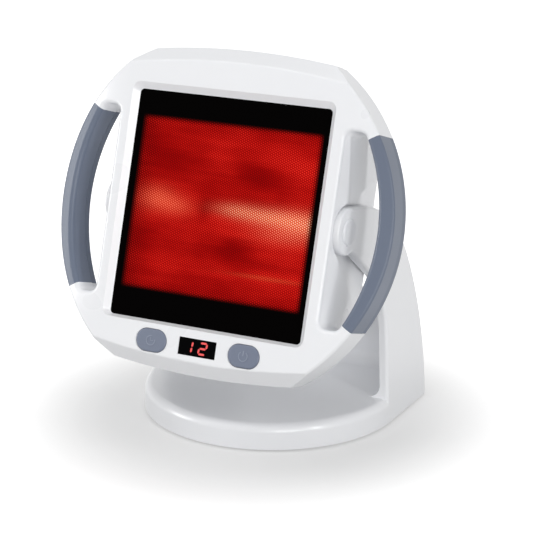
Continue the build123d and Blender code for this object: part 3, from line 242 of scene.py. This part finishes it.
def make_floor():
    """Pale floor that keeps the lamp's shadow, with a painted shadow round the lamp where less white
    is added, and is plain white further away.
    """
    bpy.ops.mesh.primitive_plane_add(size=FLOOR_SIZE, location=(0.0, 0.0, 0.0))
    floor = bpy.context.active_object
    floor.name = "floor"
    material = bpy.data.materials.new("floor")
    material.use_nodes = True
    tree = material.node_tree
    tree.nodes.clear()
    diffuse = tree.nodes.new("ShaderNodeBsdfDiffuse")
    diffuse.inputs["Color"].default_value = (FLOOR_ALBEDO, FLOOR_ALBEDO, FLOOR_ALBEDO, 1.0)
    glow = tree.nodes.new("ShaderNodeEmission")
    distance = tree.nodes.new("ShaderNodeVectorMath")
    distance.operation = "LENGTH"
    tree.links.new(tree.nodes.new("ShaderNodeTexCoord").outputs["Object"], distance.inputs[0])
    # The added white rises from the painted shadow next to the lamp to plain white further away.
    white_past_painted_shadow = ramp(tree, distance.outputs["Value"], SHADOW_RADIUS, WHITE_RADIUS, FLOOR_LIFT, 1.0)
    tree.links.new(calc(tree, "MULTIPLY", shown(tree), white_past_painted_shadow), glow.inputs["Strength"])
    both = tree.nodes.new("ShaderNodeAddShader")
    tree.links.new(diffuse.outputs[0], both.inputs[0])
    tree.links.new(glow.outputs[0], both.inputs[1])
    out = tree.nodes.new("ShaderNodeOutputMaterial")
    tree.links.new(both.outputs[0], out.inputs["Surface"])
    floor.data.materials.append(material)


# ---------------------------------------------------------------- plastics, metals and quartz
TONE_PATCHES = 9.0  # scales of the noises, per metre
GLOSS_PATCHES = 25.0
PLASTIC_GRAIN = 1800.0
METAL_PATCHES = 25.0
METAL_MARKS = 900.0
DRAWN_LINES = 700.0

GLOSS_DRIFT = 0.04  # share of the roughness
MARKS_DRIFT = 0.3
METAL_SHADE = 0.85
METAL_RELIEF = 0.01 * MM
COAT_ROUGHNESS = 0.12


def new_material(name):
    """A material with its tree, its shader and object coordinates."""
    material = bpy.data.materials.new(name)
    material.use_nodes = True
    tree = material.node_tree
    shader = tree.nodes["Principled BSDF"]
    place = tree.nodes.new("ShaderNodeTexCoord").outputs["Object"]
    return material, tree, shader, place


def drift_roughness(tree, shader, factor, roughness, share):
    """Roughness that wanders by a share of itself."""
    uneven = spread(tree, factor, roughness * (1.0 - share), roughness * (1.0 + share))
    tree.links.new(uneven, shader.inputs["Roughness"])


def moulded(name, colour, shade, roughness, grain, coat=0.0, specular=0.5):
    """Moulded plastic, rubber or ceramic: tone drift, uneven gloss and a grain in millimetres."""
    material, tree, shader, place = new_material(name)
    tone = blend_colours(tree, noise(tree, place, TONE_PATCHES, 0.0), colour, shade)
    tree.links.new(tone, shader.inputs["Base Color"])
    drift_roughness(tree, shader, noise(tree, place, GLOSS_PATCHES, 0.0), roughness, GLOSS_DRIFT)
    bump(tree, shader, noise(tree, place, PLASTIC_GRAIN, 2.0), grain * MM)
    shader.inputs["Specular IOR Level"].default_value = specular
    shader.inputs["Coat Weight"].default_value = coat
    shader.inputs["Coat Roughness"].default_value = COAT_ROUGHNESS
    return material


def metal(name, colour, roughness, brushing=(1.0, 1.0, 1.0)):
    """Plated or rolled metal with fine marks."""
    material, tree, shader, place = new_material(name)
    marks = noise(tree, mapped(tree, place, "POINT", scale=brushing), METAL_MARKS, 4.0, 0.6)
    darker = tuple(channel * METAL_SHADE for channel in colour[:3]) + (1.0,)
    tone = blend_colours(tree, noise(tree, place, METAL_PATCHES), colour, darker)
    tree.links.new(tone, shader.inputs["Base Color"])
    shader.inputs["Metallic"].default_value = 1.0
    drift_roughness(tree, shader, marks, roughness, MARKS_DRIFT)
    bump(tree, shader, marks, METAL_RELIEF)
    return material


def quartz():
    """Clear fused quartz with faint drawing lines."""
    material, tree, shader, place = new_material("quartz")
    shader.inputs["Base Color"].default_value = srgb(246, 240, 238)
    shader.inputs["Transmission Weight"].default_value = 0.92
    shader.inputs["IOR"].default_value = 1.46
    lines = noise(tree, mapped(tree, place, "POINT", scale=(0.05, 1.0, 1.0)), DRAWN_LINES)
    tree.links.new(spread(tree, lines, 0.03, 0.12), shader.inputs["Roughness"])
    return material


# ---------------------------------------------------------------- lit glass and display
LENS_SPECULAR = 0.01
HAZE_PATCHES = 40.0

DOT_PITCH = 1.7  # of the glass's dot screen
DOT_EDGE = -0.3  # heights of the screen's waves where a dot starts and is full
DOT_CORE = 2.6

GLOW_AREA = (-67.5, 69.0, -58.0, 61.0)  # left, right, low and high side of the lit part
GLOW_EDGE = (3.0, 2.5)
BRIGHT_AREA = (-60.0, 80.0, -60.0, 63.0)
BRIGHT_EDGE = (12.0, 14.0)
DIM_SHARE = 0.45  # of the light left between the two areas
GAP_SHARE = 0.42  # of the light between the dots
DOT_GAIN = 1.6
HOT_GAIN = 0.35

HEAT_START = 0.3
HEAT_RANGE = (-0.15, 1.1)
CLOUDS = ((0.03, 0.05, 0.0), 4.0, 0.7)  # scale on the glass, detail and weight of the noise
STREAKS = ((0.012, 0.16, 0.0), 3.0, 0.45)
# Each spot: the u and v of its middle, half its width, half its height, and its weight.
WARM_SPOTS = (
    (52.0, 40.0, 36.0, 8.0, 0.4),
    (5.0, 52.0, 40.0, 6.0, 0.2),
    (-6.0, 40.0, 14.0, 12.0, 0.25),
    (62.0, 4.0, 14.0, 34.0, 0.3),
    (-42.0, -2.0, 34.0, 17.0, 0.45),
    (40.0, -8.0, 42.0, 16.0, 0.5),
    (-24.0, -40.0, 30.0, 9.0, 0.25),
    (48.0, -40.0, 34.0, 7.0, 0.4),
)
DIM_SPOTS = (
    (24.0, 29.0, 13.0, 8.0, -0.35),
    (14.5, -23.0, 14.0, 7.0, -0.55),
    (-50.0, 36.0, 16.0, 12.0, -0.25),
    (-60.0, -22.0, 14.0, 10.0, -0.25),
    (-12.0, 2.0, 6.0, 9.0, -0.35),
)
HOT_LEFT = (
    (-50.0, 5.0, 13.0, 7.5, 0.6),
    (-34.0, 1.5, 12.0, 6.0, 0.4),
)
HOT_RIGHT = (
    (13.0, 3.5, 15.0, 4.5, 0.55),
    (38.0, 2.0, 20.0, 5.5, 0.8),
    (64.0, 0.5, 18.0, 7.0, 0.9),
    (52.0, -9.0, 22.0, 6.0, 0.25),
)
LOW_LINE = ((44.0, -39.5, 26.0, 1.6, 0.3),)
ORANGE_SHARE = 0.6
GLINTS = 0.16

GLASS_BLACK = srgb(3, 2, 2)
UNLIT = srgb(0, 0, 0)
DEEP_RED = srgb(168, 3, 4)
BRIGHT_RED = srgb(255, 19, 13)
ORANGE_RED = srgb(255, 104, 62)
SALMON = srgb(255, 146, 116)
PALE_PEACH = srgb(255, 226, 184)


def dark_lens(name, colour):
    """Polished dark glass or lens, with a trace of haze."""
    material, tree, shader, place = new_material(name)
    shader.inputs["Base Color"].default_value = colour
    shader.inputs["Specular IOR Level"].default_value = LENS_SPECULAR
    haze = spread(tree, noise(tree, place, HAZE_PATCHES), 0.05, 0.08)
    tree.links.new(haze, shader.inputs["Roughness"])
    return material, tree, shader, place


def spots(tree, across, up, start, table):
    """A number or factor plus soft round spots on the glass, each by its weight."""
    for u, v, half_u, half_v, weight in table:
        along = calc(tree, "DIVIDE", calc(tree, "SUBTRACT", across, u), half_u)
        over = calc(tree, "DIVIDE", calc(tree, "SUBTRACT", up, v), half_v)
        square = calc(tree, "ADD", calc(tree, "POWER", along, 2.0), calc(tree, "POWER", over, 2.0))
        spot = calc(tree, "EXPONENT", calc(tree, "MULTIPLY", square, -1.0))
        start = calc(tree, "MULTIPLY_ADD", spot, weight, start)
    return start


def patch(tree, across, up, area, edge):
    """1 inside a rectangle of the glass, fading over its edges."""
    left, right, low, high = area
    soft_u, soft_v = edge
    steps = (
        ramp(tree, across, left - soft_u, left + soft_u),
        ramp(tree, across, right + soft_u, right - soft_u),
        ramp(tree, up, low - soft_v, low + soft_v),
        ramp(tree, up, high + soft_v, high - soft_v),
    )
    sides = calc(tree, "MULTIPLY", steps[0], steps[1])
    ends = calc(tree, "MULTIPLY", steps[2], steps[3])
    return calc(tree, "MULTIPLY", sides, ends)


def dot_screen(tree, face):
    """Peaks on a triangular grid in the plane of the face."""
    wave = 4.0 * pi / (sqrt(3.0) * DOT_PITCH)
    waves = []
    for turn in (0.0, 60.0, 120.0):
        node = tree.nodes.new("ShaderNodeVectorMath")
        node.operation = "DOT_PRODUCT"
        tree.links.new(face, node.inputs[0])
        node.inputs[1].default_value = (wave * cos(radians(turn)), wave * sin(radians(turn)), 0.0)
        waves.append(calc(tree, "COSINE", node.outputs["Value"]))
    height = calc(tree, "ADD", calc(tree, "ADD", waves[0], waves[1]), waves[2])
    return ramp(tree, height, DOT_EDGE, DOT_CORE)


def glow_heat(tree, face, across, up):
    """How hot the red of the glow is, from 0 to 1: clouds and streaks, warm and dim spots."""
    heat = HEAT_START
    for scale, detail, weight in (CLOUDS, STREAKS):
        drift = noise(tree, mapped(tree, face, "POINT", scale=scale), 1.0, detail)
        heat = total(tree, heat, (spread(tree, drift, -0.5, 0.5), weight))
    heat = spots(tree, across, up, heat, WARM_SPOTS + DIM_SPOTS)
    return ramp(tree, heat, *HEAT_RANGE)


def lit_glass():
    """Dark glass ceramic with the heater glowing through its dot screen."""
    material, tree, shader, place = dark_lens("lit_glass", GLASS_BLACK)
    face = mapped(tree, place, "TEXTURE", HEAD, (pi / 2 - LEAN, 0.0, 0.0), (MM, MM, MM))
    axes = tree.nodes.new("ShaderNodeSeparateXYZ")
    tree.links.new(face, axes.inputs[0])
    across, up = axes.outputs["X"], axes.outputs["Y"]
    dots = dot_screen(tree, face)
    heat = glow_heat(tree, face, across, up)
    hot_left = spots(tree, across, up, 0.0, HOT_LEFT)
    hot_right = spots(tree, across, up, 0.0, HOT_RIGHT)
    hot = calc(tree, "ADD", hot_left, hot_right)

    colour = blend_colours(tree, heat, DEEP_RED, BRIGHT_RED)
    orange = total(tree, spots(tree, across, up, 0.0, LOW_LINE), (hot, ORANGE_SHARE))
    colour = blend_colours(tree, orange, colour, ORANGE_RED)
    glints = calc(tree, "MULTIPLY", calc(tree, "POWER", heat, 2.0), GLINTS)
    salmon = calc(tree, "MULTIPLY", calc(tree, "ADD", hot_left, glints), dots)
    colour = blend_colours(tree, salmon, colour, SALMON)
    colour = blend_colours(tree, calc(tree, "MULTIPLY", hot_right, dots), colour, PALE_PEACH)

    shape = patch(tree, across, up, GLOW_AREA, GLOW_EDGE)
    bright = patch(tree, across, up, BRIGHT_AREA, BRIGHT_EDGE)
    fade = total(tree, DIM_SHARE, (bright, 1.0 - DIM_SHARE))
    screen = total(tree, GAP_SHARE, (dots, DOT_GAIN), (hot, HOT_GAIN))
    amount = calc(tree, "MULTIPLY", calc(tree, "MULTIPLY", shape, fade), screen)
    tree.links.new(blend_colours(tree, amount, UNLIT, colour), shader.inputs["Emission Color"])
    shader.inputs["Emission Strength"].default_value = 1.0
    return material


def lit_figures():
    """Red light of the display's segments, a little uneven."""
    material, tree, shader, place = new_material("lit_figures")
    shader.inputs["Base Color"].default_value = srgb(60, 6, 6)
    unevenness = noise(tree, place, 700.0, 1.0)
    tone = blend_colours(tree, unevenness, srgb(226, 48, 50), srgb(250, 96, 92))
    tree.links.new(tone, shader.inputs["Emission Color"])
    shader.inputs["Emission Strength"].default_value = 0.95
    return material


# ---------------------------------------------------------------- dressing the CAD nodes
def dress(material, *names):
    """Gives CAD nodes a material."""
    for name in names:
        slots = nodes[name].data.materials
        slots.clear()
        slots.append(material)


def dress_both(material, *names):
    """Gives the left and the right node of each name a material."""
    for name in names:
        dress(material, f"left_{name}", f"right_{name}")


def dress_shells():
    """White shells and grey grips."""
    white_tones = srgb(246, 247, 249), srgb(243, 244, 247)
    white = moulded("white_plastic", *white_tones, roughness=0.28, grain=0.004, coat=0.25)
    dress(white, "stand_shell", "front_bezel", "rear_housing")
    satin_tones = srgb(242, 243, 245), srgb(238, 239, 242)
    satin = moulded("white_satin_plastic", *satin_tones, roughness=0.4, grain=0.006)
    dress_both(satin, "arm_cover", "hub_cap")
    grip_tones = srgb(112, 121, 138), srgb(108, 117, 135)
    grip = moulded("grip_plastic", *grip_tones, roughness=0.28, grain=0.003, specular=0.25)
    dress_both(grip, "grip")
    back_tones = srgb(106, 115, 132), srgb(102, 111, 128)
    grip_back = moulded("grip_back_plastic", *back_tones, roughness=0.34, grain=0.003, specular=0.2)
    dress_both(grip_back, "grip_back")


def dress_trim():
    """Buttons, dark plastics and rubber."""
    button_tones = srgb(118, 126, 144), srgb(110, 118, 137)
    button = moulded("button_plastic", *button_tones, roughness=0.42, grain=0.006)
    dress(button, "timer_button", "power_button")
    black_tones = srgb(38, 38, 41), srgb(30, 30, 33)
    black = moulded("black_plastic", *black_tones, roughness=0.45, grain=0.01)
    dress(black, "base_plate", "cord_gland", "fan_frame", "fan_rotor", "key_switches")
    dress_both(black, "hub_bush")
    rubber_tones = srgb(46, 46, 48), srgb(36, 36, 38)
    rubber = moulded("dark_rubber", *rubber_tones, roughness=0.75, grain=0.02)
    dress(rubber, "glass_gasket")
    dress_both(rubber, "friction_washer")
    feet_tones = srgb(86, 88, 92), srgb(72, 74, 78)
    feet = moulded("feet_rubber", *feet_tones, roughness=0.7, grain=0.02)
    dress(feet, "rubber_feet")


def dress_inside():
    """Boards, heater, sheet metal and fasteners."""
    board_tones = srgb(28, 92, 58), srgb(20, 74, 46)
    laminate = moulded("board_laminate", *board_tones, roughness=0.35, grain=0.004)
    dress(laminate, "control_board", "power_board")
    ceramic_tones = srgb(226, 218, 204), srgb(214, 205, 190)
    ceramic = moulded("ceramic", *ceramic_tones, roughness=0.6, grain=0.015)
    dress_both(ceramic, "tube_holder")
    terminal_tones = srgb(208, 206, 196), srgb(198, 196, 186)
    terminal = moulded("terminal_plastic", *terminal_tones, roughness=0.45, grain=0.008)
    dress(terminal, "terminal_block")
    dress(quartz(), "infrared_tube")
    dress(metal("filament_wire", srgb(196, 120, 84), roughness=0.4), "tube_filament")
    sheet = metal("shield_sheet", srgb(176, 177, 180), roughness=0.35, brushing=(1.0, 0.05, 1.0))
    dress(sheet, "heat_shield")
    bright = metal("reflector_sheet", srgb(226, 227, 230), roughness=0.18, brushing=(0.05, 1.0, 1.0))
    dress(bright, "reflector")
    dress(metal("ballast_steel", srgb(130, 130, 134), roughness=0.5), "ballast_plate")
    steel = metal("plated_steel", srgb(188, 190, 194), roughness=0.28)
    screws = [name for name in nodes if name.endswith("_screws")]
    dress(steel, "pivot_nuts", "thermal_cutout", *screws)
    dress_both(steel, "pivot_screw")


# ---------------------------------------------------------------- pieces
def add_piece(name, mesh, material, body):
    """Makes a finished mesh a piece that rides on a body."""
    bmesh.ops.recalc_face_normals(mesh, faces=mesh.faces[:])
    data = bpy.data.meshes.new(name)
    mesh.to_mesh(data)
    mesh.free()
    piece = bpy.data.objects.new(name, data)
    bpy.context.scene.collection.objects.link(piece)
    data.materials.append(material)
    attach(piece, body)


def join_rings(mesh, rings):
    """Faces between rings of corners, closed at both ends."""
    for low, high in zip(rings, rings[1:]):
        for index in range(len(low)):
            after = (index + 1) % len(low)
            mesh.faces.new((low[index], low[after], high[after], high[index]))
    mesh.faces.new(list(reversed(rings[0])))
    mesh.faces.new(rings[-1])


def raised(mesh, outline, w, height, chamfer):
    """Adds a low plate with sloping edges, from its outline on the head's face."""
    middle = sum((Vector(point) for point in outline), Vector((0.0, 0.0))) / len(outline)
    rings = []
    for level, inset in ((0.0, 0.0), (height - chamfer, 0.0), (height, chamfer)):
        ring = []
        for index, corner in enumerate(outline):
            corner = Vector(corner)
            after = Vector(outline[(index + 1) % len(outline)])
            along = (after - Vector(outline[index - 1])).normalized()
            inward = Vector((-along.y, along.x))
            if inward.dot(middle - corner) < 0.0:
                inward.negate()
            moved = corner + inward * inset
            ring.append(mesh.verts.new(head_point(moved.x, moved.y, w + level)))
        rings.append(ring)
    join_rings(mesh, rings)


def stroke(mesh, line, width, w, height, chamfer):
    """Adds a low bar with sloping edges along a line of points on the head's face."""
    section = (
        (-width / 2, 0.0),
        (-width / 2, height - chamfer),
        (chamfer - width / 2, height),
        (width / 2 - chamfer, height),
        (width / 2, height - chamfer),
        (width / 2, 0.0),
    )
    rings = []
    for index, point in enumerate(line):
        before = Vector(line[max(index - 1, 0)])
        after = Vector(line[min(index + 1, len(line) - 1)])
        along = (after - before).normalized()
        side = Vector((-along.y, along.x))
        ring = []
        for offset, level in section:
            spot = Vector(point) + side * offset
            ring.append(mesh.verts.new(head_point(spot.x, spot.y, w + level)))
        rings.append(ring)
    join_rings(mesh, rings)


# ---------------------------------------------------------------- symbols of the buttons
SYMBOL_WIDTH = 0.8
SYMBOL_HEIGHT = 0.3
SYMBOL_CHAMFER = 0.15
SYMBOL_RADIUS = 3.3
RING_STEPS = 40
CLOCK_GAP = (15.0, 75.0)  # open part of the ring, in degrees from the right
POWER_GAP = (55.0, 125.0)
CLOCK_HANDS = (0.68, 0.62)  # upright and level one, in radii
POWER_BAR = (1.15, 0.1)  # upper and lower end, in radii above the middle


def open_ring(u, gap):
    """Points of a ring round a button's middle, open over a gap."""
    start, end = gap[1], gap[0] + 360.0
    turns = [radians(start + (end - start) * step / RING_STEPS) for step in range(RING_STEPS + 1)]
    return [(u + SYMBOL_RADIUS * cos(turn), PANEL_V + SYMBOL_RADIUS * sin(turn)) for turn in turns]


def add_symbol(name, lines, button, material):
    """A moulded symbol on a button's top."""
    mesh = bmesh.new()
    for line in lines:
        stroke(mesh, line, SYMBOL_WIDTH, BUTTON_TOP_W, SYMBOL_HEIGHT, SYMBOL_CHAMFER)
    add_piece(name, mesh, material, button)


def add_symbols():
    """A clock on the timer button and a power sign on the power button, painted paler than the
    buttons as a highlight on their raised strokes.
    """
    # The symbols' tone is the buttons' plastic made paler: a painted highlight on the raised
    # strokes.
    highlit_symbol_tones = srgb(142, 150, 168), srgb(134, 142, 160)
    highlit_symbol = moulded("symbol_painted_highlight", *highlit_symbol_tones, roughness=0.38, grain=0.004)
    upright, level = CLOCK_HANDS
    hands = [
        (-BUTTON_U, PANEL_V + upright * SYMBOL_RADIUS),
        (-BUTTON_U, PANEL_V),
        (-BUTTON_U + level * SYMBOL_RADIUS, PANEL_V),
    ]
    add_symbol("clock_symbol", (open_ring(-BUTTON_U, CLOCK_GAP), hands), "timer_button", highlit_symbol)
    bar = [(BUTTON_U, PANEL_V + end * SYMBOL_RADIUS) for end in POWER_BAR]
    add_symbol("power_symbol", (open_ring(BUTTON_U, POWER_GAP), bar), "power_button", highlit_symbol)


# ---------------------------------------------------------------- figures of the display
DIGIT_WIDTH = 5.4  # between the middles of the upright segments
DIGIT_HEIGHT = 7.8
DIGIT_SLANT = tan(radians(7.0))
SEGMENT_WIDTH = 1.4
SEGMENT_GAP = 0.22
SEGMENT_HEIGHT = 0.12
SEGMENT_CHAMFER = 0.05
SEGMENTS = {  # ends of each segment, in halves of the digit's width and height
    "top": ((-1, 1), (1, 1)),
    "upper_right": ((1, 1), (1, 0)),
    "lower_right": ((1, 0), (1, -1)),
    "bottom": ((-1, -1), (1, -1)),
    "lower_left": ((-1, 0), (-1, -1)),
    "middle": ((-1, 0), (1, 0)),
}
FIGURES = (  # figure, middle u, segments
    (1, -6.9, ("upper_right", "lower_right")),
    (2, 4.3, ("top", "upper_right", "middle", "lower_left", "bottom")),
)


def segment_outline(start, end, u):
    """Six corners of one segment of a figure centred at u."""
    first = Vector((start[0] * DIGIT_WIDTH / 2, start[1] * DIGIT_HEIGHT / 2))
    last = Vector((end[0] * DIGIT_WIDTH / 2, end[1] * DIGIT_HEIGHT / 2))
    along = (last - first).normalized()
    side = Vector((-along.y, along.x)) * SEGMENT_WIDTH / 2
    first += along * SEGMENT_GAP
    last -= along * SEGMENT_GAP
    slope = along * SEGMENT_WIDTH / 2
    corners = (first, first + slope + side, last - slope + side, last)
    corners += (last - slope - side, first + slope - side)
    return [(u + corner.x + corner.y * DIGIT_SLANT, PANEL_V + corner.y) for corner in corners]


def add_figures(material):
    """The display's lit figures, on top of its lens."""
    for number, u, names in FIGURES:
        mesh = bmesh.new()
        for name in names:
            outline = segment_outline(*SEGMENTS[name], u)
            raised(mesh, outline, LENS_TOP_W, SEGMENT_HEIGHT, SEGMENT_CHAMFER)
        add_piece(f"figure_{number}", mesh, material, "head")


# ---------------------------------------------------------------- scene
bpy.context.scene.view_settings.view_transform = "Standard"
make_camera()
make_world()
make_floor()
make_soft_boxes()

dress_shells()
dress_trim()
dress_inside()
dress(lit_glass(), "glass_panel")
dress(dark_lens("display_lens", srgb(6, 6, 7))[0], "display_window")
figure_light = lit_figures()
dress(figure_light, "display_module")
add_symbols()
add_figures(figure_light)
